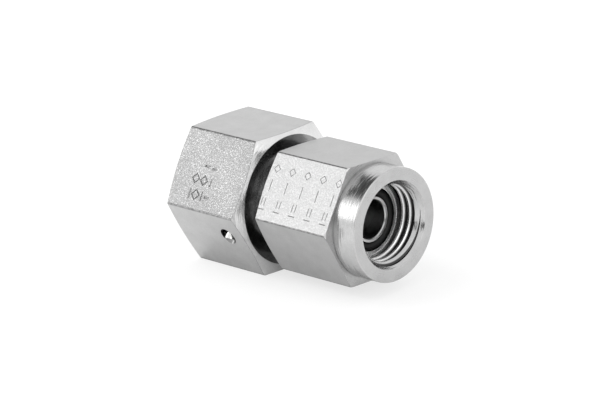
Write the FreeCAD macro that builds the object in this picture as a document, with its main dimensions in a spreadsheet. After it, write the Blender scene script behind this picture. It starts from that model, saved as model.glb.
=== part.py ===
import FreeCAD, Part
import os
import Sketcher

# Gauge adapter with a swivel nut. Everything is turned about one level axis that runs along X, from the
# open end of the nut to the gauge port. The nut lies on one of its flats at height zero, and X zero is
# the middle of the whole length.

os.makedirs("parts", exist_ok=True)
doc = FreeCAD.newDocument("gauge_adapter")
sheet = doc.addObject("Spreadsheet::Sheet", "sizes")

# Driving dimensions in millimetres and degrees: alias, value. nut_wall is the metal between the flats
# and the major diameter of the thread, nut_rear_depth is the length behind the thread, and collar_step is
# how far the collar lies inside the flats
driving = (
    # Swivel nut
    ("nut_flats", 22.0),
    ("nut_length", 15.55),
    ("nut_rim_inset", 0.61),
    ("nut_rim_angle", 15.0),
    ("nut_wall", 2.0),
    ("nut_rear_depth", 6.95),
    ("nut_mouth_chamfer", 0.55),
    ("nut_shoulder_angle", 30.0),
    ("nut_bore_chamfer", 0.3),
    # Hexagon and collar of the body
    ("hex_flats", 19.0),
    ("hex_length", 15.3),
    ("hex_rim_inset", 0.475),
    ("hex_rim_angle", 15.0),
    ("hex_corner_cut", 0.3),
    ("hex_corner_angle", 30.0),
    ("collar_step", 0.5),
    ("collar_length", 4.2),
    ("collar_root_fillet", 0.3),
    ("collar_edge_chamfer", 0.15),
    ("corner_round", 0.2),
    # Neck and 24 degree cone of the body
    ("nose_length", 16.15),
    ("neck_diameter", 13.0),
    ("neck_root_chamfer", 0.4),
    ("cone_tip_diameter", 9.8),
    ("cone_tip_chamfer", 0.3),
    ("cone_half_angle", 12.0),
    ("cone_length", 6.0),
    ("through_bore", 6.06),
    ("bore_tip_chamfer", 0.3),
    # Gauge port
    ("port_thread_major", 13.16),
    ("port_mouth_chamfer", 0.27),
    ("port_seat_depth", 4.72),
    ("seat_lip_wall", 0.54),
    # Rubber rings
    ("port_ring_section", 1.4),
    ("port_ring_proud", 0.12),
    ("cone_ring_section", 1.5),
    ("cone_ring_setback", 3.15),
    ("cone_ring_proud", 0.18),
    ("ring_side_room", 0.15),
    ("ring_clearance", 0.03),
    # Retaining wire and the hole that it is pushed in through
    ("wire_diameter", 1.5),
    ("wire_setback", 3.95),
    ("wire_wrap_angle", 315.0),
    ("wire_tail_recess", 0.35),
    ("wire_clearance", 0.05),
    ("wire_hole_diameter", 2.8),
    ("wire_hole_offset", 0.6),
    ("wire_lean_angle", 31.0),
    # How the two halves lie together
    ("nut_gap", 2.4),
    ("swivel_clearance", 0.08),
    ("hex_turn_angle", 57.9),
)
for row, (alias, value) in enumerate(driving, start=1):
    sheet.set(f"A{row}", alias.replace("_", " "))
    sheet.set(f"B{row}", str(value))
    sheet.setAlias(f"B{row}", alias)
doc.recompute()

# How far a cutting profile reaches past the metal that it cuts
overcut = "1"

# Radii and places that follow from the driving dimensions
nut_corner = "(sizes.nut_flats / sqrt(3))"
nut_rim = "(sizes.nut_flats / 2 - sizes.nut_rim_inset)"
nut_thread = "(sizes.nut_flats / 2 - sizes.nut_wall)"
nut_thread_end = "(sizes.nut_length - sizes.nut_rear_depth)"
nut_bore = "(sizes.neck_diameter / 2 + sizes.swivel_clearance)"
nut_shoulder = f"(({nut_thread} - {nut_bore}) * tan(sizes.nut_shoulder_angle * 1 deg))"
hex_corner = "(sizes.hex_flats / sqrt(3))"
hex_rim = "(sizes.hex_flats / 2 - sizes.hex_rim_inset)"
hex_back_rim = f"({hex_corner} - sizes.hex_corner_cut)"
hex_end = "(sizes.nose_length + sizes.hex_length)"
port_face = f"({hex_end} + sizes.collar_length)"
collar = "(sizes.hex_flats / 2 - sizes.collar_step)"
neck = "(sizes.neck_diameter / 2)"
neck_root = f"({neck} + sizes.neck_root_chamfer)"
bore = "(sizes.through_bore / 2)"
cone_slope = "tan(sizes.cone_half_angle * 1 deg)"
cone_tip = "(sizes.cone_tip_diameter / 2)"
cone_end = f"({cone_tip} + sizes.cone_length * {cone_slope})"
port_thread = "(sizes.port_thread_major / 2)"
seat = f"({port_face} - sizes.port_seat_depth)"
seat_lip = f"({bore} + sizes.seat_lip_wall)"

# Ring in the seat face, between the lip and the outer wall of its groove
port_ring_radius = f"({seat_lip} + sizes.ring_clearance + sizes.port_ring_section / 2)"
port_groove_outer = f"({port_ring_radius} + sizes.port_ring_section / 2 + sizes.ring_clearance)"
port_groove_depth = "(sizes.port_ring_section + sizes.ring_clearance - sizes.port_ring_proud)"
port_ring_place = f"({seat} - {port_groove_depth} + sizes.ring_clearance + sizes.port_ring_section / 2)"

# Ring in the cone, which stands a little proud of the cone's face
cone_face = f"({cone_tip} + sizes.cone_ring_setback * {cone_slope})"
cone_ring_radius = f"({cone_face} + sizes.cone_ring_proud - sizes.cone_ring_section / 2)"
cone_groove_floor = f"({cone_ring_radius} - sizes.cone_ring_section / 2 - sizes.ring_clearance)"
cone_groove_half = "(sizes.cone_ring_section / 2 + sizes.ring_side_room)"

# The wire lies half in the neck and half in the nut
wire_radius = "(sizes.wire_diameter / 2)"
wire_circle = "(sizes.neck_diameter / 2 + sizes.swivel_clearance / 2)"
wire_groove = f"({wire_radius} + sizes.wire_clearance)"
wire_in_nut = "(sizes.nut_length - sizes.wire_setback)"
wire_in_body = "(sizes.nose_length - sizes.nut_gap - sizes.wire_setback)"
lean = "(sizes.wire_lean_angle * 1 deg)"
tail_to_flat = f"((sizes.nut_flats / 2 - {wire_circle} * sin({lean})) / cos({lean}))"
wire_tail = f"({tail_to_flat} - sizes.wire_tail_recess)"
wire_hole_circle = f"({wire_circle} + sizes.wire_hole_offset)"

# Places along X, with the rear face of the nut as the start, then moved so that zero is the middle
middle = "((sizes.nut_gap + sizes.hex_length + sizes.collar_length - sizes.nut_length) / 2)"
nut_place = f"(0 - sizes.nut_length - {middle})"
body_place = f"(sizes.nut_gap - sizes.nose_length - {middle})"
axis_height = "(sizes.nut_flats / 2)"

# Angles about the axis, counted from +Y towards +Z: the flat that the wire hole leaves, and one of the
# body's flats before the body is turned
wire_flat_angle = "210"
body_flat_angle = "30"
nut_turn = f"({wire_flat_angle} - 90 + sizes.wire_lean_angle)"


def number(formula):
    """Give the value of a formula on the sheet as a plain number."""
    value = sheet.evalExpression(formula)
    return float(getattr(value, "Value", value))


def new_body(name, place, turn):
    """Make an empty body whose own X axis is the common axis."""
    body = doc.addObject("PartDesign::Body", name)
    body.Label = name
    body.Placement = FreeCAD.Placement(
        FreeCAD.Vector(0, 0, 0), FreeCAD.Rotation(FreeCAD.Vector(1, 0, 0), number(turn))
    )
    body.setExpression(".Placement.Base.x", place)
    body.setExpression(".Placement.Base.z", axis_height)
    body.setExpression(".Placement.Rotation.Angle", f"{turn} * 1 deg")
    return body


def new_sketch(body, name, role):
    """Lay a sketch on one of the body's own origin planes."""
    sketch = body.newObject("Sketcher::SketchObject", name)
    plane = next(item for item in body.Origin.OriginFeatures if item.Role == role)
    sketch.AttachmentSupport = [(plane, "")]
    sketch.MapMode = "FlatFace"
    return sketch


def bind_point(sketch, line, end, along, radius):
    """Hold one end of a line at a place along the axis and a radius, each a formula."""
    for kind, axis, formula in (("DistanceX", -2, along), ("DistanceY", -1, radius)):
        if formula == "0":
            sketch.addConstraint(Sketcher.Constraint("PointOnObject", line, end, axis))
            continue
        index = sketch.addConstraint(Sketcher.Constraint(kind, -1, 1, line, end, number(formula)))
        sketch.setExpression(f"Constraints[{index}]", formula)


def profile(body, name, corners):
    """Draw a closed outline beside the axis from corners, each a place along it and a radius."""
    sketch = new_sketch(body, name, "XY_Plane")
    points = [FreeCAD.Vector(number(along), number(radius), 0) for along, radius in corners]
    count = len(points)
    for index in range(count):
        sketch.addGeometry(Part.LineSegment(points[index], points[(index + 1) % count]), False)
    for index in range(count):
        following = (index + 1) % count
        sketch.addConstraint(Sketcher.Constraint("Coincident", index, 2, following, 1))
    for index, (along, radius) in enumerate(corners):
        bind_point(sketch, index, 1, along, radius)
    return sketch


def disc(body, name, along, radius, disc_radius):
    """Draw a circle beside the axis."""
    sketch = new_sketch(body, name, "XY_Plane")
    centre = FreeCAD.Vector(number(along), number(radius), 0)
    sketch.addGeometry(Part.Circle(centre, FreeCAD.Vector(0, 0, 1), number(disc_radius)), False)
    bind_point(sketch, 0, 3, along, radius)
    index = sketch.addConstraint(Sketcher.Constraint("Radius", 0, number(disc_radius)))
    sketch.setExpression(f"Constraints[{index}]", disc_radius)
    return sketch


def hexagon(body, name, start, corner_radius, flat_angle):
    """Draw a hexagon round the axis, one flat facing the given angle."""
    sketch = new_sketch(body, name, "YZ_Plane")
    sketch.setExpression(".AttachmentOffset.Base.z", start)
    turn = FreeCAD.Rotation(FreeCAD.Vector(0, 0, 1), 60)
    spoke = FreeCAD.Rotation(FreeCAD.Vector(0, 0, 1), number(flat_angle) - 30)
    corner = spoke.multVec(FreeCAD.Vector(number(corner_radius), 0, 0))
    for index in range(6):
        following = turn.multVec(corner)
        sketch.addGeometry(Part.LineSegment(corner, following), False)
        corner = following
    ring = Part.Circle(FreeCAD.Vector(0, 0, 0), FreeCAD.Vector(0, 0, 1), number(corner_radius))
    circle = sketch.addGeometry(ring, True)
    sketch.addConstraint(Sketcher.Constraint("Coincident", circle, 3, -1, 1))
    for index in range(6):
        sketch.addConstraint(Sketcher.Constraint("Coincident", index, 2, (index + 1) % 6, 1))
        sketch.addConstraint(Sketcher.Constraint("PointOnObject", index, 1, circle))
    for index in range(1, 6):
        sketch.addConstraint(Sketcher.Constraint("Equal", 0, index))
    edge_angle = f"(({flat_angle} + 90) * 1 deg)"
    radians = FreeCAD.Units.Quantity(f"{number(flat_angle) + 90} deg").getValueAs("rad")
    index = sketch.addConstraint(Sketcher.Constraint("Angle", 0, float(radians)))
    sketch.setExpression(f"Constraints[{index}]", edge_angle)
    index = sketch.addConstraint(Sketcher.Constraint("Radius", circle, number(corner_radius)))
    sketch.setExpression(f"Constraints[{index}]", corner_radius)
    return sketch


def turned(body, name, kind, sketch, angle="360"):
    """Revolve a sketch about the axis: PartDesign::Revolution adds metal, PartDesign::Groove cuts it."""
    before = body.Shape.Volume if body.Tip else 0.0
    feature = body.newObject(kind, name)
    feature.Profile = sketch
    feature.ReferenceAxis = (sketch, ["H_Axis"])
    feature.setExpression("Angle", f"{angle} * 1 deg")
    doc.recompute()
    check_volume(body, name, kind == "PartDesign::Revolution", before)
    return feature


def padded(body, name, sketch, length):
    """Give a sketch a straight length along its plane's own direction."""
    before = body.Shape.Volume if body.Tip else 0.0
    feature = body.newObject("PartDesign::Pad", name)
    feature.Profile = sketch
    feature.setExpression("Length", length)
    doc.recompute()
    check_volume(body, name, True, before)
    return feature


def check_volume(body, name, grows, before):
    """Stop if a feature added or cut nothing."""
    change = body.Shape.Volume - before
    if (change if grows else -change) < 1e-3:
        raise RuntimeError(f"{name} changed nothing")


def rounded(body, name, radius, wanted):
    """Round the edges that the given test picks."""
    base = body.Tip
    edges = [f"Edge{index}" for index, edge in enumerate(base.Shape.Edges, start=1) if wanted(edge)]
    feature = body.newObject("PartDesign::Fillet", name)
    feature.Base = (base, edges)
    feature.setExpression("Radius", radius)
    doc.recompute()
    return feature


def runs_along_axis(edge):
    """Tell whether an edge is one of the long corners between two flats."""
    if not isinstance(edge.Curve, Part.Line):
        return False
    return abs(edge.Curve.Direction.x) > 0.999


def rim_cut(body, name, face, rim, corner, angle, inward):
    """Turn the corners of a hexagon's end down to a circle. inward is + or - along the axis."""
    rise = f"({corner} - {rim} + {overcut})"
    run = f"({rise} * tan({angle} * 1 deg))"
    outer = f"({rim} + {rise})"
    corners = ((face, rim), (f"({face} {inward} {run})", outer), (face, outer))
    turned(body, name, "PartDesign::Groove", profile(body, f"{name}_outline", corners))


def make_adapter_body():
    """Hexagon, collar, neck and cone in one turned piece, with the gauge port and the bore through it."""
    body = new_body("adapter_body", body_place, "sizes.hex_turn_angle")
    flats = hexagon(body, "hex_outline", "sizes.nose_length", hex_corner, body_flat_angle)
    padded(body, "hex_bar", flats, "sizes.hex_length")
    rounded(body, "hex_corners", "sizes.corner_round", runs_along_axis)
    tip_start = f"({cone_tip} - sizes.cone_tip_chamfer)"
    tip_side = f"({cone_tip} + sizes.cone_tip_chamfer * {cone_slope})"
    outer = (
        ("0", "0"),
        ("0", tip_start),
        ("sizes.cone_tip_chamfer", tip_side),
        ("sizes.cone_length", cone_end),
        (f"(sizes.cone_length + {neck} - {cone_end})", neck),
        ("(sizes.nose_length - sizes.neck_root_chamfer)", neck),
        ("sizes.nose_length", neck_root),
        (hex_end, neck_root),
        (hex_end, collar),
        (f"({port_face} - sizes.collar_edge_chamfer)", collar),
        (port_face, f"({collar} - sizes.collar_edge_chamfer)"),
        (port_face, "0"),
    )
    turned(body, "turned_outside", "PartDesign::Revolution", profile(body, "outside_outline", outer))

    def is_collar_root(edge):
        if not isinstance(edge.Curve, Part.Circle):
            return False
        same_place = abs(edge.Curve.Center.x - number(hex_end)) < 1e-4
        return same_place and abs(edge.Curve.Radius - number(collar)) < 1e-4

    rounded(body, "collar_root", "sizes.collar_root_fillet", is_collar_root)
    rim_cut(body, "hex_front_rim", "sizes.nose_length", hex_rim, hex_corner, "sizes.hex_rim_angle", "+")
    rim_cut(body, "hex_back_rim", hex_end, hex_back_rim, hex_corner, "sizes.hex_corner_angle", "-")
    inner = (
        ("0", "0"),
        ("0", f"({bore} + sizes.bore_tip_chamfer)"),
        ("sizes.bore_tip_chamfer", bore),
        (seat, bore),
        (seat, port_thread),
        (f"({port_face} - sizes.port_mouth_chamfer)", port_thread),
        (port_face, f"({port_thread} + sizes.port_mouth_chamfer)"),
        (port_face, "0"),
    )
    turned(body, "bore_and_port", "PartDesign::Groove", profile(body, "bore_outline", inner))
    seat_groove = (
        (f"({seat} - {port_groove_depth})", seat_lip),
        (f"({seat} - {port_groove_depth})", port_groove_outer),
        (f"({seat} + {overcut})", port_groove_outer),
        (f"({seat} + {overcut})", seat_lip),
    )
    turned(body, "seat_groove", "PartDesign::Groove", profile(body, "seat_groove_outline", seat_groove))
    cone_groove = (
        (f"(sizes.cone_ring_setback - {cone_groove_half})", cone_groove_floor),
        (f"(sizes.cone_ring_setback + {cone_groove_half})", cone_groove_floor),
        (f"(sizes.cone_ring_setback + {cone_groove_half})", f"({cone_end} + {overcut})"),
        (f"(sizes.cone_ring_setback - {cone_groove_half})", f"({cone_end} + {overcut})"),
    )
    turned(body, "cone_groove", "PartDesign::Groove", profile(body, "cone_groove_outline", cone_groove))
    groove = disc(body, "neck_groove_outline", wire_in_body, wire_circle, wire_groove)
    turned(body, "neck_groove", "PartDesign::Groove", groove)
    return body


def make_swivel_nut():
    """Hexagon nut, open at its threaded end, with the wire groove in its rear bore."""
    body = new_body("swivel_nut", nut_place, nut_turn)
    flats = hexagon(body, "nut_outline", "0", nut_corner, "(90 - sizes.wire_lean_angle)")
    padded(body, "nut_bar", flats, "sizes.nut_length")
    rounded(body, "nut_corners", "sizes.corner_round", runs_along_axis)
    rim_cut(body, "nut_front_rim", "0", nut_rim, nut_corner, "sizes.nut_rim_angle", "+")
    rim_cut(body, "nut_rear_rim", "sizes.nut_length", nut_rim, nut_corner, "sizes.nut_rim_angle", "-")
    inner = (
        ("0", "0"),
        ("0", f"({nut_thread} + sizes.nut_mouth_chamfer)"),
        ("sizes.nut_mouth_chamfer", nut_thread),
        (nut_thread_end, nut_thread),
        (f"({nut_thread_end} + {nut_shoulder})", nut_bore),
        ("(sizes.nut_length - sizes.nut_bore_chamfer)", nut_bore),
        ("sizes.nut_length", f"({nut_bore} + sizes.nut_bore_chamfer)"),
        ("sizes.nut_length", "0"),
    )
    turned(body, "nut_inside", "PartDesign::Groove", profile(body, "nut_inside_outline", inner))
    groove = disc(body, "wire_groove_outline", wire_in_nut, wire_circle, wire_groove)
    turned(body, "wire_groove", "PartDesign::Groove", groove)
    # The wire hole runs straight out from the groove, so it leaves the flat at a slant
    hole = disc(body, "hole_outline", wire_in_nut, wire_hole_circle, "(sizes.wire_hole_diameter / 2)")
    before = body.Shape.Volume
    pocket = body.newObject("PartDesign::Pocket", "wire_hole")
    pocket.Profile = hole
    pocket.Type = "ThroughAll"
    pocket.Reversed = True
    doc.recompute()
    check_volume(body, "wire_hole", False, before)
    return body


def make_retaining_wire():
    """Round wire bent round the neck, its straight tail standing in the hole of the nut."""
    body = new_body("retaining_wire", nut_place, nut_turn)
    section = disc(body, "wire_section", wire_in_nut, wire_circle, wire_radius)
    ring = turned(body, "wire_ring", "PartDesign::Revolution", section, "sizes.wire_wrap_angle")
    ring.Reversed = True
    tail_section = disc(body, "tail_section", wire_in_nut, wire_circle, wire_radius)
    padded(body, "wire_tail", tail_section, wire_tail)
    return body


def make_ring(name, along, radius, section):
    """Plain rubber ring of round section."""
    body = new_body(name, body_place, "sizes.hex_turn_angle")
    outline = disc(body, f"{name}_section", along, radius, f"({section} / 2)")
    turned(body, f"{name}_turned", "PartDesign::Revolution", outline)
    return body


pieces = (
    make_adapter_body(),
    make_swivel_nut(),
    make_retaining_wire(),
    make_ring("cone_o_ring", "sizes.cone_ring_setback", cone_ring_radius, "sizes.cone_ring_section"),
    make_ring("port_o_ring", port_ring_place, port_ring_radius, "sizes.port_ring_section"),
)
doc.recompute()

for item in doc.Objects:
    if "Invalid" in item.State or "Error" in item.State:
        raise RuntimeError(f"{item.Name} failed: {item.State}")
for piece in pieces:
    if piece.Shape.isNull() or not piece.Shape.isValid():
        raise RuntimeError(f"{piece.Label} has no valid shape")
    if len(piece.Shape.Solids) != 1:
        raise RuntimeError(f"{piece.Label} is not one solid")
for piece in pieces:
    piece.Shape.exportStep(f"parts/{piece.Label}.step")
    box = piece.Shape.BoundBox
    print(piece.Label, "volume", round(piece.Shape.Volume, 1), "x", round(box.XMin, 3), round(box.XMax, 3))
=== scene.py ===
from math import ceil, cos, pi, radians, sin, sqrt, tan

import bmesh
import bpy
from mathutils import Matrix, Vector


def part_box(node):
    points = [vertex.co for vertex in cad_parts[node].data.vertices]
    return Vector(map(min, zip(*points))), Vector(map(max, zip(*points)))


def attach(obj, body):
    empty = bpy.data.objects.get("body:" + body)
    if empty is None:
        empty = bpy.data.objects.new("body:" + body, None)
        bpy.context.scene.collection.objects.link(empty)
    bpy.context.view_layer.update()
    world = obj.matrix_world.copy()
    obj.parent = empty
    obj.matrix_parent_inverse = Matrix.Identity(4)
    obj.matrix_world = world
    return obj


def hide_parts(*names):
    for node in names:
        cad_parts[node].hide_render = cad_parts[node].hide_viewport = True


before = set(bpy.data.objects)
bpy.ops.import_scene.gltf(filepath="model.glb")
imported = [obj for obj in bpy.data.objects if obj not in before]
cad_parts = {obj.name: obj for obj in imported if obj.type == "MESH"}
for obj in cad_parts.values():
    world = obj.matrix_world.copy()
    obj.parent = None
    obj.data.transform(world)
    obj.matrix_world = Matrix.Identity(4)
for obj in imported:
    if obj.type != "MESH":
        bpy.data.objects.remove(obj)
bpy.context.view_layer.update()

# Gauge adapter: a hexagon body with a threaded gauge port, and a swivel nut held on its neck by a bent wire.
# Shapes are drawn in millimetres about the common axis X and set down in metres where the frame has them.

mm = 0.001

bodyLow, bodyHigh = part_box("adapter_body")
nutLow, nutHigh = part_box("swivel_nut")
wireLow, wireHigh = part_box("retaining_wire")
axisHeight = (nutLow.z + nutHigh.z) / 2
portFaceX = bodyHigh.x / mm
coneTipX = bodyLow.x / mm
nutMouthX = nutLow.x / mm
nutRearX = nutHigh.x / mm
wireX = (wireLow.x + wireHigh.x) / 2 / mm
nutFlats = (nutHigh.z - nutLow.z) / mm

# Places in each steel piece's list of finishes
slotFlat = 0
slotTurned = 1
slotInside = 2
slotStamped = 3
slotMarked = 4
slotEnd = 5
slotThread = 6
slotFace = 7

roundSteps = 128  # facets round a turned face
roundingSteps = 3  # facets of a rounded corner in an outline
wireSides = 24
holeSides = 48
squareSides = 4
overcut = 1.0  # how far a cutter reaches past the metal
weld = 1e-4  # points closer than this are one
hairEdge = 0.03  # roundings of turned edges, from the crispest to the softest
fineEdge = 0.05
softEdge = 0.1
sharpAngle = 32  # faces that meet at more than this keep a crisp edge
stampTaper = 0.6  # how much a mark narrows to its floor

wirePath = {
    "circle": 6.54, "diameter": 1.5, "wrap": 315, "tailAngle": 151, "tailLength": 8.85, "tailSpring": 1.5,
    "cutEdge": 0.12, "grooveRadius": 0.8,
}


# Shapes

# Points of an outline's corner rounded to a radius
def softCorner(before, corner, after, radius):
    toBefore = (before - corner).normalized()
    toAfter = (after - corner).normalized()
    half = toBefore.angle(toAfter) / 2
    centre = corner + (toBefore + toAfter).normalized() * (radius / sin(half))
    start = corner + toBefore * (radius / tan(half)) - centre
    end = corner + toAfter * (radius / tan(half)) - centre
    return [centre + start.slerp(end, step / roundingSteps) * radius for step in range(roundingSteps + 1)]


# Corners are (along, radius) or (along, radius, rounding)
def softOutline(corners, closed):
    places = [Vector((corner[0], corner[1], 0)) for corner in corners]
    points = []
    for index, corner in enumerate(corners):
        inner = closed or 0 < index < len(corners) - 1
        if len(corner) == 3 and inner:
            after = places[(index + 1) % len(corners)]
            points += softCorner(places[index - 1], places[index], after, corner[2])
        else:
            points.append(places[index])
    return points


def lineOfPoints(bm, points, closed):
    verts = [bm.verts.new(point) for point in points]
    ends = verts[1:] + verts[:1] if closed else verts[1:]
    edges = [bm.edges.new(pair) for pair in zip(verts, ends)]
    return verts + edges


# An outline that starts on the axis ends there too, and any other makes a ring
def turnedShape(corners, slot):
    bm = bmesh.new()
    ringShaped = corners[0][1] > 0
    outline = lineOfPoints(bm, softOutline(corners, ringShaped), ringShaped)
    bmesh.ops.spin(bm, geom=outline, cent=(0, 0, 0), axis=(1, 0, 0), angle=2 * pi, steps=roundSteps,
                   use_merge=True)
    bmesh.ops.remove_doubles(bm, verts=bm.verts, dist=weld)
    return finishShape(bm, slot)


def finishShape(bm, slot):
    bmesh.ops.recalc_face_normals(bm, faces=bm.faces)
    for face in bm.faces:
        face.material_index = slot
    return bm


# Gives the flat end of a shape its own finish
def markEnd(bm, along, slot):
    for face in bm.faces:
        if abs(face.calc_center_median().x - along) < weld:
            face.material_index = slot
    return bm


# Direction out from the axis at an angle counted from +Y towards +Z
def outward(angle):
    return Vector((0, cos(radians(angle)), sin(radians(angle))))


# Hexagon bar along the axis with rounded corners; the flat that faces the angle turn is the marked one
def hexBar(startX, endX, flats, turn, rounding):
    bm = bmesh.new()
    length = endX - startX
    upright = Matrix.Rotation(radians(90), 4, "Y")
    turned = Matrix.Rotation(radians(turn - 30), 4, "X")
    place = Matrix.Translation((startX, 0, 0)) @ turned @ upright
    bmesh.ops.create_circle(bm, cap_ends=True, segments=6, radius=flats / sqrt(3), matrix=place)
    grown = bmesh.ops.extrude_face_region(bm, geom=bm.faces[:])
    moved = [item for item in grown["geom"] if isinstance(item, bmesh.types.BMVert)]
    bmesh.ops.translate(bm, verts=moved, vec=(length, 0, 0))
    corners = [edge for edge in bm.edges if abs(edge.verts[0].co.x - edge.verts[1].co.x) > length / 2]
    setback = rounding * tan(radians(30))
    bmesh.ops.bevel(bm, geom=corners, offset=setback, offset_type="OFFSET", affect="EDGES",
                    segments=4, profile=0.5, material=-1)
    finishShape(bm, slotFlat)
    facing = outward(turn)
    for face in bm.faces:
        if face.normal.dot(facing) > cos(radians(1)):
            face.material_index = slotMarked
    return bm


# What a tap of this thread cuts away between two places
def tapShape(thread, startX, endX):
    pitch = thread["pitch"]
    major = thread["major"] / 2
    minor = thread["minor"] / 2
    flank = (major - minor) * tan(radians(thread["flankAngle"] / 2))
    crest = (pitch - 2 * flank) * thread["crestShare"]
    soft = thread["rounding"]
    firstX = thread["crestX"] - ceil((thread["crestX"] - startX) / pitch + 1.5) * pitch
    corners = (
        (firstX - pitch / 2, major),
        (firstX - crest / 2 - flank, major, soft),
        (firstX - crest / 2, minor, soft),
        (firstX + crest / 2, minor, soft),
        (firstX + crest / 2 + flank, major, soft),
        (firstX + pitch / 2, major),
    )
    turns = ceil((endX - firstX) / pitch + 2)
    steps = thread["stepsPerTurn"]
    bm = bmesh.new()
    outline = lineOfPoints(bm, softOutline(corners, closed=False), closed=False)
    bmesh.ops.spin(bm, geom=outline, cent=(0, 0, 0), axis=(1, 0, 0), dvec=(pitch / steps, 0, 0),
                   angle=2 * pi * turns, steps=steps * turns)
    bmesh.ops.remove_doubles(bm, verts=bm.verts, dist=weld)
    for place, side in ((startX, -1), (endX, 1)):
        everything = bm.verts[:] + bm.edges[:] + bm.faces[:]
        bmesh.ops.bisect_plane(bm, geom=everything, dist=1e-5, plane_co=(place, 0, 0),
                               plane_no=(side, 0, 0), clear_outer=True)
        rim = [edge for edge in bm.edges if edge.is_boundary
               and all(abs(vert.co.x - place) < weld for vert in edge.verts)]
        bmesh.ops.holes_fill(bm, edges=rim, sides=0)
    return markEnd(finishShape(bm, slotThread), startX, slotEnd)


def roundBar(start, direction, length, radius, slot):
    bm = bmesh.new()
    aim = direction.to_track_quat("Z", "X").to_matrix().to_4x4()
    place = Matrix.Translation(start + direction * length / 2) @ aim
    bmesh.ops.create_cone(bm, cap_ends=True, segments=holeSides, radius1=radius, radius2=radius, depth=length,
                          matrix=place)
    return finishShape(bm, slot)


# Round wire bent about the axis, from the far end of its wrap to where its tail begins
def wireCoil(radius, wrap, slot):
    bm = bmesh.new()
    start = Matrix.Rotation(radians(wirePath["tailAngle"] - wrap), 4, "X")
    place = start @ Matrix.Translation((wireX, wirePath["circle"], 0))
    bmesh.ops.create_circle(bm, segments=wireSides, radius=radius, matrix=place)
    closed = wrap == 360
    steps = ceil(roundSteps * wrap / 360)
    swept = bmesh.ops.spin(bm, geom=bm.verts[:] + bm.edges[:], cent=(0, 0, 0), axis=(1, 0, 0),
                           angle=radians(wrap), steps=steps, use_merge=closed)
    if closed:
        bmesh.ops.remove_doubles(bm, verts=bm.verts, dist=weld)
        return finishShape(bm, slot)
    rim = [item for item in swept["geom_last"] if isinstance(item, bmesh.types.BMEdge)]
    grown = bmesh.ops.extrude_edge_only(bm, edges=rim)
    moved = [item for item in grown["geom"] if isinstance(item, bmesh.types.BMVert)]
    tail = outward(wirePath["tailAngle"] + 90 - wirePath["tailSpring"]) * wirePath["tailLength"]
    bmesh.ops.translate(bm, verts=moved, vec=tail)
    ends = [edge for edge in bm.edges if edge.is_boundary]
    bmesh.ops.holes_fill(bm, edges=ends, sides=0)
    bmesh.ops.bevel(bm, geom=ends, offset=wirePath["cutEdge"], affect="EDGES", segments=2, profile=0.5,
                    material=-1)
    return finishShape(bm, slot)


def barStroke(length, width, depth):
    stroke = bmesh.new()
    bmesh.ops.create_cube(stroke, size=1, matrix=Matrix.Diagonal((length, width, 2 * depth, 1)))
    for vert in stroke.verts:
        vert.co.y *= 1 - stampTaper if vert.co.z < 0 else 1 + stampTaper
    return stroke


def squareStroke(size, width, depth):
    stroke = bmesh.new()
    middle = size / 2 / cos(pi / squareSides) - width / 2
    narrow = width / 2 * (1 - stampTaper)
    wide = width / 2 * (1 + stampTaper)
    corners = (
        Vector((middle - narrow, 0, -depth)),
        Vector((middle + narrow, 0, -depth)),
        Vector((middle + wide, 0, depth)),
        Vector((middle - wide, 0, depth)),
    )
    outline = lineOfPoints(stroke, corners, closed=True)
    bmesh.ops.spin(stroke, geom=outline, cent=(0, 0, 0), axis=(0, 0, 1), angle=2 * pi, steps=squareSides,
                   use_merge=True)
    bmesh.ops.remove_doubles(stroke, verts=stroke.verts, dist=weld)
    return stroke


# Punch for a group of marks on the flat at an angle; a mark is (kind, along, rise, size, turn).
# The marks stay apart, because a cutter must not cross itself.
def stampShape(marks, angle, apothem, width, depth, slot):
    up = outward(angle - 90)
    out = outward(angle)
    flat = Matrix(((1, 0, 0, 0), (0, up.y, out.y, 0), (0, up.z, out.z, 0), (0, 0, 0, 1)))
    bm = bmesh.new()
    for kind, along, rise, size, turn in marks:
        stroke = (barStroke if kind == "bar" else squareStroke)(size, width, depth)
        place = flat @ Matrix.Translation((along, rise, apothem)) @ Matrix.Rotation(radians(turn), 4, "Z")
        bmesh.ops.transform(stroke, matrix=place, verts=stroke.verts)
        part = bpy.data.meshes.new("stroke")
        finishShape(stroke, slot).to_mesh(part)
        stroke.free()
        bm.from_mesh(part)
        bpy.data.meshes.remove(part)
    return bm


def shapeObject(name, bm):
    mesh = bpy.data.meshes.new(name)
    bm.to_mesh(mesh)
    bm.free()
    made = bpy.data.objects.new(name, mesh)
    bpy.context.scene.collection.objects.link(made)
    return made


# Joins and cuts a blank with tool shapes in order, then sets it down in metres
def machined(name, blank, operations, finishes):
    piece = shapeObject(name, blank)
    for finish in finishes:
        piece.data.materials.append(finish)
    tools = []
    for count, (operation, shape) in enumerate(operations):
        tool = shapeObject(f"{name}Tool{count}", shape)
        for finish in finishes:
            tool.data.materials.append(finish)
        tools.append(tool)
        step = piece.modifiers.new(f"step{count}", "BOOLEAN")
        step.operation = operation
        step.solver = "EXACT"
        step.object = tool
    depsgraph = bpy.context.evaluated_depsgraph_get()
    result = bpy.data.meshes.new_from_object(piece.evaluated_get(depsgraph))
    piece.modifiers.clear()
    piece.data = result
    for tool in tools:
        bpy.data.objects.remove(tool)
    setDown(piece)
    return piece


# Brings a shape from millimetres on the axis to its place in the frame, and shades it smooth
def setDown(piece):
    piece.data.transform(Matrix.Translation((0, 0, axisHeight)) @ Matrix.Scale(mm, 4))
    piece.data.shade_smooth()
    piece.data.set_sharp_from_angle(angle=radians(sharpAngle))
    weighted = piece.modifiers.new("faceNormals", "WEIGHTED_NORMAL")
    weighted.keep_sharp = True


# Finishes

def grey(level):
    return level, level, level, 1


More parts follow.
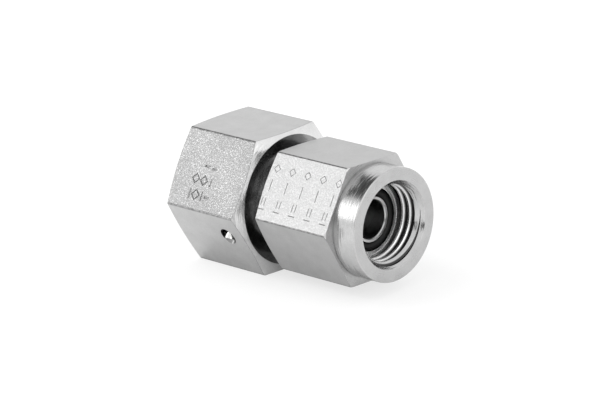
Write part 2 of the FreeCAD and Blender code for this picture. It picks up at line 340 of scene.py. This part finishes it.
# Gives a node's input a value, or a link where a socket is given
def feed(tree, entrance, given):
    if isinstance(given, bpy.types.NodeSocket):
        tree.links.new(given, entrance)
    else:
        entrance.default_value = given


def addNode(tree, kind, values=None, **settings):
    node = tree.nodes.new(kind)
    for name, value in settings.items():
        setattr(node, name, value)
    for name, value in (values or {}).items():
        feed(tree, node.inputs[name], value)
    return node


def addGroup(tree, group, place, values=None):
    return addNode(tree, "ShaderNodeGroup", {"Vector": place} | (values or {}), node_tree=group).outputs


def maths(tree, operation, *values, clamp=False):
    node = addNode(tree, "ShaderNodeMath", dict(enumerate(values)), operation=operation, use_clamp=clamp)
    return node.outputs["Value"]


def scaledVector(tree, vector, scale):
    node = addNode(tree, "ShaderNodeVectorMath", {0: vector, "Scale": scale}, operation="SCALE")
    return node.outputs["Vector"]


# Eases between two levels while a value goes from low to high
def ramp(tree, value, low, high, levels=(0, 1)):
    node = addNode(tree, "ShaderNodeMapRange", {
        "Value": value, "From Min": low, "From Max": high, "To Min": levels[0], "To Max": levels[1]},
        interpolation_type="SMOOTHSTEP")
    return node.outputs["Result"]


def between(tree, share, levels):
    node = addNode(tree, "ShaderNodeMapRange", {"Value": share, "To Min": levels[0], "To Max": levels[1]})
    return node.outputs["Result"]


def blend(tree, share, first, second):
    node = addNode(tree, "ShaderNodeMix", {"Factor": share, "A": first, "B": second}, data_type="RGBA")
    return node.outputs["Result"]


# Noise pulled apart about its middle, so that it fills zero to one
def contrasted(tree, noise, contrast):
    centred = maths(tree, "SUBTRACT", noise.outputs["Fac"], 0.5)
    return maths(tree, "MULTIPLY_ADD", centred, contrast, 0.5, clamp=True)


def dress(tree, values):
    shader = tree.nodes["Principled BSDF"]
    for name, value in values.items():
        feed(tree, shader.inputs[name], value)


def startMaterial(name):
    made = bpy.data.materials.new(name)
    made.use_nodes = True
    return made, made.node_tree


def startGroup(name, inputs, outputs):
    group = bpy.data.node_groups.new(name, "ShaderNodeTree")
    group.interface.new_socket(name="Vector", in_out="INPUT", socket_type="NodeSocketVector")
    for label, value in inputs:
        socket = group.interface.new_socket(name=label, in_out="INPUT", socket_type="NodeSocketFloat")
        socket.default_value = value
    for label, kind in outputs:
        group.interface.new_socket(name=label, in_out="OUTPUT", socket_type=kind)
    return group, group.nodes.new("NodeGroupInput").outputs, group.nodes.new("NodeGroupOutput").inputs


# Place about the turning axis in millimetres: along it, out from it, and the direction out
def makeAboutAxis():
    group, entry, out = startGroup("aboutAxis", (), (
        ("Along", "NodeSocketFloat"), ("Radius", "NodeSocketFloat"), ("Direction", "NodeSocketVector")))
    centred = addNode(group, "ShaderNodeMapping", {
        "Vector": entry["Vector"], "Location": (0, 0, -axisHeight / mm), "Scale": (1 / mm,) * 3})
    split = addNode(group, "ShaderNodeSeparateXYZ", {"Vector": centred.outputs["Vector"]})
    across = addNode(group, "ShaderNodeVectorMath", {0: centred.outputs["Vector"], 1: (0, 1, 1)},
                     operation="MULTIPLY")
    reach = addNode(group, "ShaderNodeVectorMath", {0: across.outputs["Vector"]}, operation="LENGTH")
    aim = addNode(group, "ShaderNodeVectorMath", {0: across.outputs["Vector"]}, operation="NORMALIZE")
    group.links.new(split.outputs["X"], out["Along"])
    group.links.new(reach.outputs["Value"], out["Radius"])
    group.links.new(aim.outputs["Vector"], out["Direction"])
    return group


# Grains or clouds of a size in millimetres
def makePlateGrain():
    group, entry, out = startGroup("plateGrain", (("Grain Size", 0.2), ("Contrast", 2.0)),
                                   (("Grain", "NodeSocketFloat"),))
    perMetre = maths(group, "DIVIDE", 1 / mm, entry["Grain Size"])
    scaled = scaledVector(group, entry["Vector"], perMetre)
    noise = addNode(group, "ShaderNodeTexNoise", {"Vector": scaled, "Scale": 1, "Detail": 3, "Roughness": 0.55})
    group.links.new(contrasted(group, noise, entry["Contrast"]), out["Grain"])
    return group


# Fine rings that a turning tool leaves, broken up along the turn. Some of the radius is added to the
# place along, so that they show on end faces too.
def makeTurningLines():
    group, entry, out = startGroup("turningLines", (("Line Pitch", 0.12), ("Break Up", 3.0), ("Contrast", 3.0)),
                                   (("Lines", "NodeSocketFloat"),))
    about = addGroup(group, aboutAxis, entry["Vector"])
    run = maths(group, "MULTIPLY_ADD", about["Radius"], 0.7, about["Along"])
    count = maths(group, "DIVIDE", run, entry["Line Pitch"])
    aim = scaledVector(group, about["Direction"], entry["Break Up"])
    split = addNode(group, "ShaderNodeSeparateXYZ", {"Vector": aim}).outputs
    place = addNode(group, "ShaderNodeCombineXYZ", {"X": count, "Y": split["Y"], "Z": split["Z"]})
    noise = addNode(group, "ShaderNodeTexNoise", {
        "Vector": place.outputs["Vector"], "Scale": 1, "Detail": 2, "Roughness": 0.6})
    group.links.new(contrasted(group, noise, entry["Contrast"]), out["Lines"])
    return group


# Painted shade along the hexagon's corners, where the piece is furthest from the axis, and along a line where
# its flats run out into the coned rim, broken into chips like knocks: there, place along plus slope times
# radius is the rim's place
def makeEdgeShadeAndWear():
    group, entry, out = startGroup("edgeShadeAndWear", (
        ("Corner Radius", 30), ("Width", 0.07), ("Rim Slope", 0), ("Rim Place", 90), ("Rim Width", 0.28)),
        (("ShadeAndWear", "NodeSocketFloat"),))
    about = addGroup(group, aboutAxis, entry["Vector"])
    inside = maths(group, "SUBTRACT", entry["Corner Radius"], entry["Width"])
    corner = ramp(group, about["Radius"], inside, entry["Corner Radius"])
    coned = maths(group, "MULTIPLY_ADD", about["Radius"], entry["Rim Slope"], about["Along"])
    before = maths(group, "SUBTRACT", entry["Rim Place"], entry["Rim Width"])
    rim = ramp(group, coned, before, entry["Rim Place"])
    chips = addGroup(group, plateGrain, entry["Vector"], {"Grain Size": 0.45, "Contrast": 1.6})
    either = maths(group, "MAXIMUM", corner, rim)
    group.links.new(maths(group, "MULTIPLY", either, chips["Grain"]), out["ShadeAndWear"])
    return group


aboutAxis = makeAboutAxis()
plateGrain = makePlateGrain()
turningLines = makeTurningLines()
edgeShadeAndWear = makeEdgeShadeAndWear()


# Zinc plate on steel. Depths are in millimetres.
def zincFinish(name, look):
    made, tree = startMaterial(name)
    place = addNode(tree, "ShaderNodeTexCoord").outputs["Object"]
    about = addGroup(tree, aboutAxis, place)
    grain = addGroup(tree, plateGrain, place, {
        "Grain Size": look["grain"], "Contrast": look["grainContrast"]})["Grain"]
    cloud = addGroup(tree, plateGrain, place, {
        "Grain Size": look["cloud"], "Contrast": look["cloudContrast"]})["Grain"]
    lines = addGroup(tree, turningLines, place, {
        "Line Pitch": look["pitch"], "Break Up": look["breakUp"]})["Lines"]
    edgeShadeAndWearMask = addGroup(tree, edgeShadeAndWear, place, {
        "Corner Radius": look["cornerRadius"], "Rim Slope": look["rimSlope"],
        "Rim Place": look["rimPlace"]})["ShadeAndWear"]

    colour = blend(tree, cloud, look["shade"], look["colour"])
    colour = blend(tree, maths(tree, "MULTIPLY", grain, look["speckle"]), colour, look["speck"])
    # painted shade: a dark line along the hexagon's corners and rim edge, broken into chips like knocks
    colour = blend(tree, edgeShadeAndWearMask, colour, look["shadedWornEdge"])
    # painted shade: darker towards the thread roots, between the radii given
    paintedRootShadeMask = ramp(tree, about["Radius"], look["paintedRootShadeFrom"], look["paintedRootShadeTo"])
    colour = blend(tree, paintedRootShadeMask, colour, look["paintedRootShade"])

    uneven = maths(tree, "MULTIPLY_ADD", cloud, 0.5, maths(tree, "MULTIPLY", lines, 0.5))
    scored = maths(tree, "MULTIPLY", lines, look["lineDepth"])
    height = maths(tree, "MULTIPLY_ADD", grain, look["grainDepth"], scored)
    if look["chatter"]:
        height = chatterMarks(tree, about["Direction"], height, look)
    bump = addNode(tree, "ShaderNodeBump", {"Height": height, "Strength": 1, "Distance": mm})
    dress(tree, {"Metallic": 1, "Base Color": colour, "Roughness": between(tree, uneven, look["roughness"]),
                 "Normal": bump.outputs["Normal"]})
    return made


# Ripples round the axis, left by a shaking cutter
def chatterMarks(tree, direction, height, look):
    split = addNode(tree, "ShaderNodeSeparateXYZ", {"Vector": direction}).outputs
    angle = maths(tree, "ARCTAN2", split["Z"], split["Y"])
    wave = maths(tree, "SINE", maths(tree, "MULTIPLY", angle, look["chatter"]))
    return maths(tree, "MULTIPLY_ADD", wave, look["chatterDepth"], height)


# Where a hexagon gets painted edge shade and knocks: at its corners, and where a cone of this radius and angle
# cuts its flats
def hexShadeAndWear(cornerRadius, rimX, rimRadius, rimAngle):
    slope = tan(radians(rimAngle))
    return {"cornerRadius": cornerRadius, "rimSlope": slope, "rimPlace": rimX + rimRadius * slope}


# Without painted edge shade, knocks or painted root shade: their places lie beyond the part
plainZinc = {
    "colour": grey(0.63), "shade": grey(0.54), "cloud": 2.4, "cloudContrast": 2.2,
    "speck": grey(0.36), "speckle": 0.2, "grain": 0.22, "grainContrast": 3, "grainDepth": 0.006,
    "shadedWornEdge": grey(0.1), "cornerRadius": 30, "rimSlope": 0, "rimPlace": 90,
    "paintedRootShade": grey(0.06), "paintedRootShadeFrom": 90, "paintedRootShadeTo": 91,
    "roughness": (0.28, 0.4), "pitch": 0.1, "breakUp": 3, "lineDepth": 0, "chatter": 0, "chatterDepth": 0,
}
boredZinc = zincFinish("boredZinc", plainZinc | {
    "colour": grey(0.6), "shade": grey(0.48), "roughness": (0.16, 0.26), "lineDepth": 0.004,
    "grainDepth": 0.001, "speckle": 0.1})
stampedZinc = zincFinish("stampedZinc", plainZinc | {
    "colour": grey(0.42), "shade": grey(0.3), "roughness": (0.45, 0.6)})

rubber = {
    "colour": grey(0.004), "dusty": grey(0.012), "dust": 1.5, "roughness": (0.38, 0.55), "specular": 0.25,
    "grain": 0.15, "grainDepth": 0.004,
}


def makeRubber():
    made, tree = startMaterial("blackRubber")
    place = addNode(tree, "ShaderNodeTexCoord").outputs["Object"]
    grain = addGroup(tree, plateGrain, place, {"Grain Size": rubber["grain"]})["Grain"]
    dust = addGroup(tree, plateGrain, place, {"Grain Size": rubber["dust"]})["Grain"]
    bump = addNode(tree, "ShaderNodeBump", {"Height": grain, "Strength": rubber["grainDepth"], "Distance": mm})
    dress(tree, {
        "Base Color": blend(tree, dust, rubber["colour"], rubber["dusty"]),
        "Roughness": between(tree, dust, rubber["roughness"]),
        "Specular IOR Level": rubber["specular"],
        "Normal": bump.outputs["Normal"],
    })
    return made


blackRubber = makeRubber()
print("finishes ready")


# Body with the gauge port

gaugeBody = {
    "hexFlats": 19.0, "hexLength": 15.3, "hexTurn": -2.1, "cornerRound": 0.25, "shadedWornEdgeFrom": 10.9,
    "frontInset": 0.475, "frontAngle": 15, "backCut": 0.3, "backAngle": 30, "backRound": 0.08,
    "collarLength": 4.2, "collarStep": 0.5, "collarRoot": 0.24, "collarUndercut": 0.12, "collarEdge": 0.15,
    "neckDiameter": 13.0, "neckRoot": 0.4,
    "coneTipDiameter": 9.8, "coneAngle": 12, "coneLength": 6.0, "tipChamfer": 0.3,
    "ringSetback": 3.15, "ringGrooveWidth": 1.8, "ringGrooveFloor": 4.2,
    "throughBore": 6.06, "seatDepth": 4.72, "lipWall": 0.54, "lipEdge": 0.16,
    "seatGrooveOuter": 5.03, "seatGrooveDepth": 1.31,
    "seatRing": (5.4, 5.75), "seatRingDepth": 0.12, "seatRingReach": 0.1,
    "mouthChamfer": 0.42, "mouthAngle": 35, "mouthDepth": 1.6, "mouthRound": 0.12, "mouthFlare": 2.0,
}
portThread = {
    "pitch": 1.337, "major": 13.16, "minor": 11.9, "flankAngle": 55, "crestShare": 0.4,
    "rounding": 0.07, "crestX": portFaceX - 2.45, "stepsPerTurn": 96,
}
bodyMarks = {
    "columns": 5, "columnPitch": 3.27, "firstColumn": 1.2, "width": 0.15, "depth": 0.06,
    "rows": (
        ("square", 0.35, 2.9, 1.0, 0), ("bar", 0.1, 0.15, 1.9, 90),
        ("bar", 0.05, -2.5, 1.3, 90), ("bar", -0.6, -2.5, 1.3, 90), ("bar", -0.3, -3.75, 1.3, 0),
    ),
}

bodyShadeAndWear = hexShadeAndWear(gaugeBody["shadedWornEdgeFrom"], portFaceX - gaugeBody["collarLength"],
                   gaugeBody["hexFlats"] / sqrt(3) - gaugeBody["backCut"], gaugeBody["backAngle"])
bodyFinishes = {
    slotFlat: zincFinish("groundFlat", plainZinc | bodyShadeAndWear | {"colour": grey(0.58), "shade": grey(0.5)}),
    slotTurned: zincFinish("turnedZinc", plainZinc | {
        "colour": grey(0.64), "shade": grey(0.54), "roughness": (0.14, 0.24), "lineDepth": 0.03,
        "pitch": 0.5, "breakUp": 2, "grainDepth": 0.001}),
    slotInside: boredZinc,
    slotStamped: stampedZinc,
    slotMarked: zincFinish("markedFlat", plainZinc | bodyShadeAndWear | {
        "colour": grey(0.74), "shade": grey(0.67), "roughness": (0.34, 0.44), "grain": 0.24,
        "grainContrast": 7, "grainDepth": 0.012, "speckle": 0.3, "shadedWornEdge": grey(0.6)}),
    slotEnd: zincFinish("seatZinc", plainZinc | {
        "colour": grey(0.88), "shade": grey(0.8), "lineDepth": 0.004, "chatter": 100, "chatterDepth": 0.04}),
    # painted shade darkens the port thread towards its roots
    slotThread: zincFinish("portThreadZinc", plainZinc | {
        "colour": grey(0.86), "shade": grey(0.8), "roughness": (0.2, 0.3), "lineDepth": 0.003,
        "paintedRootShadeFrom": 6.06, "paintedRootShadeTo": 6.36}),
    slotFace: zincFinish("faceZinc", plainZinc | {
        "colour": grey(0.58), "shade": grey(0.5), "roughness": (0.24, 0.34), "lineDepth": 0.006,
        "pitch": 0.3, "breakUp": 2}),
}


def makeGaugeBody():
    size = gaugeBody
    hexEndX = portFaceX - size["collarLength"]
    hexStartX = hexEndX - size["hexLength"]
    corner = size["hexFlats"] / sqrt(3)
    frontRim = size["hexFlats"] / 2 - size["frontInset"]
    frontRun = (corner + overcut - frontRim) * tan(radians(size["frontAngle"]))
    backRim = corner - size["backCut"]
    backRun = (corner + overcut - backRim) * tan(radians(size["backAngle"]))
    envelope = (
        (hexStartX, 0),
        (hexStartX, frontRim, softEdge),
        (hexStartX + frontRun, corner + overcut),
        (hexEndX - backRun, corner + overcut),
        (hexEndX, backRim, size["backRound"]),
        (hexEndX, 0),
    )
    neck = size["neckDiameter"] / 2
    tip = size["coneTipDiameter"] / 2
    slope = tan(radians(size["coneAngle"]))
    coneEnd = tip + size["coneLength"] * slope
    collar = size["hexFlats"] / 2 - size["collarStep"]
    inHex = hexStartX + size["hexLength"] / 2
    groove = size["ringGrooveWidth"] / 2
    ringX = coneTipX + size["ringSetback"]
    front = (
        (coneTipX, 0),
        (coneTipX, tip - size["tipChamfer"], fineEdge),
        (coneTipX + size["tipChamfer"], tip + size["tipChamfer"] * slope, softEdge),
        (ringX - groove, tip + (size["ringSetback"] - groove) * slope, fineEdge),
        (ringX - groove, size["ringGrooveFloor"]),
        (ringX + groove, size["ringGrooveFloor"]),
        (ringX + groove, tip + (size["ringSetback"] + groove) * slope, fineEdge),
        (coneTipX + size["coneLength"], coneEnd, softEdge),
        (coneTipX + size["coneLength"] + neck - coneEnd, neck, softEdge),
        (hexStartX - size["neckRoot"], neck),
        (hexStartX, neck + size["neckRoot"]),
        (inHex, neck + size["neckRoot"]),
        (inHex, 0),
    )
    back = (
        (inHex, 0),
        (inHex, collar - overcut),
        (hexEndX, collar - overcut),
        (hexEndX, collar - size["collarUndercut"]),
        (hexEndX + size["collarRoot"] / 2, collar - size["collarUndercut"], hairEdge),
        (hexEndX + size["collarRoot"], collar, hairEdge),
        (portFaceX, collar, size["collarEdge"]),
        (portFaceX, 0),
    )
    seatX = portFaceX - size["seatDepth"]
    bore = size["throughBore"] / 2
    lip = bore + size["lipWall"]
    boreTool = (
        (coneTipX - overcut, 0),
        (coneTipX - overcut, bore + size["tipChamfer"] + overcut),
        (coneTipX + size["tipChamfer"], bore),
        (seatX - size["lipEdge"], bore, fineEdge),
        (seatX + overcut, bore + size["lipEdge"] + overcut),
        (seatX + overcut, 0),
    )
    grooveTool = (
        (seatX - size["seatGrooveDepth"], lip),
        (seatX - size["seatGrooveDepth"], size["seatGrooveOuter"]),
        (seatX + overcut, size["seatGrooveOuter"]),
        (seatX + overcut, lip),
    )
    flare = portThread["major"] / 2 + size["mouthChamfer"]
    mouthSlope = tan(radians(size["mouthAngle"]))
    mouthTool = (
        (portFaceX - size["mouthDepth"], 0),
        (portFaceX - size["mouthDepth"], flare - size["mouthDepth"] * mouthSlope),
        (portFaceX, flare, size["mouthRound"]),
        (portFaceX + overcut, flare + size["mouthFlare"]),
        (portFaceX + overcut, 0),
    )
    ringInner, ringOuter = size["seatRing"]
    seatRingTool = (
        (seatX - size["seatRingDepth"], (ringInner + ringOuter) / 2),
        (seatX + size["seatRingReach"], ringOuter),
        (seatX + size["seatRingReach"], ringInner),
    )
    markedAngle = 150 + size["hexTurn"]
    blank = hexBar(hexStartX - overcut, hexEndX + overcut, size["hexFlats"], markedAngle, size["cornerRound"])
    marks = []
    for column in range(bodyMarks["columns"]):
        along = hexStartX + bodyMarks["firstColumn"] + column * bodyMarks["columnPitch"]
        marks += [(kind, along + shift, rise, length, turn)
                  for kind, shift, rise, length, turn in bodyMarks["rows"]]
    stamps = stampShape(marks, markedAngle, size["hexFlats"] / 2, bodyMarks["width"], bodyMarks["depth"],
                        slotStamped)
    return machined("gaugeBody", blank, (
        ("INTERSECT", markEnd(turnedShape(envelope, slotTurned), hexEndX, slotFace)),
        ("UNION", turnedShape(front, slotTurned)),
        ("UNION", markEnd(turnedShape(back, slotTurned), portFaceX, slotFace)),
        ("DIFFERENCE", wireCoil(wirePath["grooveRadius"], 360, slotTurned)),
        ("DIFFERENCE", tapShape(portThread, seatX, portFaceX + overcut)),
        ("DIFFERENCE", turnedShape(mouthTool, slotTurned)),
        ("DIFFERENCE", turnedShape(seatRingTool, slotEnd)),
        ("DIFFERENCE", turnedShape(boreTool, slotInside)),
        ("DIFFERENCE", turnedShape(grooveTool, slotInside)),
        ("DIFFERENCE", stamps),
    ), bodyFinishes.values())


gaugeBodyPiece = makeGaugeBody()
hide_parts("adapter_body")
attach(gaugeBodyPiece, "fitting")
print("body ready", len(gaugeBodyPiece.data.polygons), "faces")


# Swivel nut

swivelNut = {
    "rimInset": 0.61, "rimAngle": 15, "cornerRound": 0.25, "shadedWornEdgeFrom": 12.62, "wall": 2.0, "rearDepth": 6.95,
    "mouthChamfer": 0.55, "shoulderAngle": 30, "rearBore": 13.16, "boreChamfer": 0.3,
    "reliefStart": 1.2, "reliefEnd": 0.3, "reliefDepth": 0.03, "reliefRun": 1.0,
    "holeDiameter": 2.8, "holeOffset": 0.6, "markedAngle": 150,
}
nutThread = {
    "pitch": 1.5, "major": nutFlats - 2 * swivelNut["wall"], "minor": 16.4, "flankAngle": 60,
    "crestShare": 0.4, "rounding": 0.06, "crestX": nutMouthX + 1.3, "stepsPerTurn": 96,
}
nutMarks = {
    "width": 0.36, "depth": 0.2,
    "strokes": (
        ("bar", 6.7, 0.8, 1.2, 0), ("bar", 8.3, 0.6, 1.1, 0),
        ("square", 5.0, -1.4, 1.3, 0), ("square", 6.8, -1.5, 1.3, 0), ("bar", 8.3, -1.6, 1.3, 90),
        ("bar", 4.6, -3.9, 1.6, 90), ("square", 5.9, -3.9, 1.4, 0), ("bar", 7.2, -4.0, 1.6, 90),
        ("bar", 8.4, -4.0, 1.2, 0),
    ),
}

nutShadeAndWear = hexShadeAndWear(swivelNut["shadedWornEdgeFrom"], nutRearX, nutFlats / 2 - swivelNut["rimInset"], swivelNut["rimAngle"])
nutFinishes = {
    slotFlat: zincFinish("nutFlat", plainZinc | nutShadeAndWear),
    slotTurned: zincFinish("rimZinc", plainZinc | {
        "colour": grey(0.84), "shade": grey(0.74), "roughness": (0.14, 0.24), "lineDepth": 0.016,
        "pitch": 0.45, "grainDepth": 0.001, "speckle": 0.1}),
    slotInside: boredZinc,
    slotStamped: stampedZinc,
    slotMarked: zincFinish("sandyFlat", plainZinc | nutShadeAndWear | {
        "colour": grey(0.74), "shade": grey(0.58), "cloud": 5, "roughness": (0.28, 0.38), "grain": 0.16,
        "grainContrast": 6, "grainDepth": 0.02, "speck": grey(0.2), "speckle": 0.6}),
    # painted shade: the nut's rear face in the gap behind it and the inside of the wire hole are made dark
    slotEnd: zincFinish("shadedFace", plainZinc | {
        "colour": grey(0.34), "shade": grey(0.18), "roughness": (0.12, 0.2), "lineDepth": 0.008,
        "pitch": 0.5, "breakUp": 1.5, "grainDepth": 0.001}),
    # painted shade darkens the nut thread towards its roots
    slotThread: zincFinish("nutThreadZinc", plainZinc | {
        "roughness": (0.2, 0.3), "lineDepth": 0.003, "paintedRootShade": grey(0.3), "paintedRootShadeFrom": 8.3, "paintedRootShadeTo": 8.9}),
}


def makeSwivelNut():
    size = swivelNut
    corner = nutFlats / sqrt(3)
    rim = nutFlats / 2 - size["rimInset"]
    run = (corner + overcut - rim) * tan(radians(size["rimAngle"]))
    envelope = (
        (nutMouthX, 0),
        (nutMouthX, rim, softEdge),
        (nutMouthX + run, corner + overcut),
        (nutRearX - run, corner + overcut),
        (nutRearX, rim, softEdge),
        (nutRearX, 0),
    )
    major = nutThread["major"] / 2
    threadEndX = nutRearX - size["rearDepth"]
    flare = size["mouthChamfer"]
    mouthTool = (
        (nutMouthX - overcut, 0),
        (nutMouthX - overcut, major + flare + overcut),
        (nutMouthX + flare + major / 2, major / 2),
        (nutMouthX + flare + major / 2, 0),
    )
    bore = size["rearBore"] / 2
    shoulder = (major - bore) * tan(radians(size["shoulderAngle"]))
    relief = major + size["reliefDepth"]
    rearTool = (
        (threadEndX - size["reliefStart"], 0),
        (threadEndX - size["reliefStart"], major - size["reliefRun"]),
        (threadEndX - size["reliefEnd"], relief, fineEdge),
        (threadEndX, relief, softEdge),
        (threadEndX + shoulder, bore, softEdge),
        (nutRearX - size["boreChamfer"], bore),
        (nutRearX + overcut, bore + size["boreChamfer"] + overcut),
        (nutRearX + overcut, 0),
    )
    holeStart = outward(wirePath["tailAngle"]) * (wirePath["circle"] + size["holeOffset"])
    holeStart.x = wireX
    holeAim = outward(wirePath["tailAngle"] + 90)
    blank = hexBar(nutMouthX - overcut, nutRearX + overcut, nutFlats, size["markedAngle"], size["cornerRound"])
    marks = [(kind, nutMouthX + along, rise, length, turn)
             for kind, along, rise, length, turn in nutMarks["strokes"]]
    stamps = stampShape(marks, size["markedAngle"], nutFlats / 2, nutMarks["width"], nutMarks["depth"],
                        slotMarked)
    return machined("swivelNut", blank, (
        ("INTERSECT", markEnd(turnedShape(envelope, slotTurned), nutRearX, slotEnd)),
        ("DIFFERENCE", tapShape(nutThread, nutMouthX - overcut, threadEndX)),
        ("DIFFERENCE", turnedShape(mouthTool, slotInside)),
        ("DIFFERENCE", turnedShape(rearTool, slotInside)),
        ("DIFFERENCE", wireCoil(wirePath["grooveRadius"], 360, slotInside)),
        ("DIFFERENCE", roundBar(holeStart, holeAim, nutFlats, size["holeDiameter"] / 2, slotEnd)),
        ("DIFFERENCE", stamps),
    ), nutFinishes.values())


swivelNutPiece = makeSwivelNut()
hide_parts("swivel_nut")
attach(swivelNutPiece, "nut")
print("nut ready", len(swivelNutPiece.data.polygons), "faces")


# Retaining wire

wirePiece = shapeObject("retainingWire", wireCoil(wirePath["diameter"] / 2, wirePath["wrap"], slotFlat))
wirePiece.data.materials.append(zincFinish("drawnWire", plainZinc | {
    "colour": (0.9, 0.9, 0.89, 1), "shade": (0.82, 0.82, 0.81, 1), "roughness": (0.15, 0.25),
    "lineDepth": 0.002, "pitch": 0.2, "breakUp": 6, "speckle": 0.1}))
setDown(wirePiece)
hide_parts("retaining_wire")
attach(wirePiece, "nut")
print("wire ready")


# Rubber rings keep their solids and get a finish

for node in ("cone_o_ring", "port_o_ring"):
    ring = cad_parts[node]
    ring.data.materials.clear()
    ring.data.materials.append(blackRubber)
print("rings ready")


# Stage, light and camera

studio = {
    "floorColour": grey(0.3), "floorRoughness": 0.9, "floorSpecular": 0.1, "floorSize": 3,
    "floorLift": 0.72, "seenLift": 0.97, "contactReach": 0.02, "contactDepth": 0.55, "contactSamples": 8,
    # cards in the white dome: where each one hangs, its level, and how wide it is
    "cards": (
        {"towards": (-0.62, -0.05, 0.78), "level": 0.09, "within": (0.89, 0.96)},
        {"towards": (0.65, -0.76, 0.02), "level": 0.1, "within": (0.95, 0.985)},
        {"towards": (0.97, 0.0, 0.16), "level": 1.8, "within": (0.88, 0.96)},
    ),
    # the second lamp lights the floor and stays out of the metal
    "lamps": (
        {"name": "frontSoftbox", "place": (-0.45, -0.42, 0.26), "aim": (0, 0, 0.01), "size": (0.3, 0.26),
         "power": 0.31, "inMetal": True},
        {"name": "overheadLamp", "place": (-0.4, -0.25, 0.75), "aim": (0, 0, 0), "size": (0.6, 0.6),
         "power": 3, "inMetal": False},
    ),
}


# The floor's lift is for rays from the camera and from metal only, so it puts no light on the part. Close
# to the part it fades with ambient occlusion as a painted contact shadow, and less for the camera than for the
# metal.
def makeFloor():
    bm = bmesh.new()
    bmesh.ops.create_grid(bm, x_segments=1, y_segments=1, size=studio["floorSize"])
    floor = shapeObject("floor", bm)
    paper, tree = startMaterial("palePaper")
    path = addNode(tree, "ShaderNodeLightPath").outputs
    seen = maths(tree, "ADD", path["Is Camera Ray"], path["Is Glossy Ray"], clamp=True)
    seen = maths(tree, "ADD", seen, path["Is Transmission Ray"], clamp=True)
    lift = maths(tree, "MULTIPLY", seen, studio["floorLift"])
    openness = addNode(tree, "ShaderNodeAmbientOcclusion", {"Distance": studio["contactReach"]},
                       samples=studio["contactSamples"])
    faded = maths(tree, "POWER", openness.outputs["AO"], studio["contactDepth"])
    direct = maths(tree, "MULTIPLY", path["Is Camera Ray"], studio["seenLift"])
    contact = maths(tree, "MAXIMUM", faded, direct)
    dress(tree, {
        "Base Color": studio["floorColour"],
        "Roughness": studio["floorRoughness"],
        "Specular IOR Level": studio["floorSpecular"],
        "Emission Color": grey(1),
        "Emission Strength": maths(tree, "MULTIPLY", lift, contact),
    })
    floor.data.materials.append(paper)


# A white dome with cards hung in it
def makeStudioWorld():
    world = bpy.data.worlds.new("studio")
    bpy.context.scene.world = world
    world.use_nodes = True
    tree = world.node_tree
    direction = addNode(tree, "ShaderNodeTexCoord").outputs["Generated"]
    level = 1
    for card in studio["cards"]:
        towards = Vector(card["towards"]).normalized()
        facing = addNode(tree, "ShaderNodeVectorMath", {0: direction, 1: towards}, operation="DOT_PRODUCT")
        near, full = card["within"]
        shade = ramp(tree, facing.outputs["Value"], near, full, (1, card["level"]))
        level = maths(tree, "MULTIPLY", level, shade)
    background = tree.nodes["Background"]
    background.inputs["Color"].default_value = grey(1)
    tree.links.new(level, background.inputs["Strength"])


def areaLamp(lamp):
    light = bpy.data.lights.new(lamp["name"], "AREA")
    light.shape = "RECTANGLE"
    light.size, light.size_y = lamp["size"]
    light.energy = lamp["power"]
    made = bpy.data.objects.new(lamp["name"], light)
    made.location = lamp["place"]
    made.rotation_euler = (Vector(lamp["aim"]) - Vector(lamp["place"])).to_track_quat("-Z", "Y").to_euler()
    made.visible_glossy = lamp["inMetal"]
    bpy.context.scene.collection.objects.link(made)


makeFloor()
makeStudioWorld()
for lamp in studio["lamps"]:
    areaLamp(lamp)
print("stage ready")

viewer = {
    "target": (-0.00218, 0.00085, 0.0108), "distance": 0.5248,
    "azimuth": 45.31, "elevation": 18.44, "roll": -3.44, "lens": 201.14, "sensorWidth": 36.0,
}


def makeCamera():
    camera = bpy.data.cameras.new("camera")
    camera.sensor_width = viewer["sensorWidth"]
    camera.lens = viewer["lens"]
    made = bpy.data.objects.new("camera", camera)
    azimuth = radians(viewer["azimuth"])
    elevation = radians(viewer["elevation"])
    away = Vector((sin(azimuth) * cos(elevation), -cos(azimuth) * cos(elevation), sin(elevation)))
    made.location = Vector(viewer["target"]) + away * viewer["distance"]
    level = away.to_track_quat("Z", "Y").to_matrix().to_4x4()
    turn = level @ Matrix.Rotation(radians(viewer["roll"]), 4, "Z")
    made.rotation_euler = turn.to_euler()
    bpy.context.scene.collection.objects.link(made)
    bpy.context.scene.camera = made


makeCamera()
bpy.context.scene.view_settings.view_transform = "Standard"
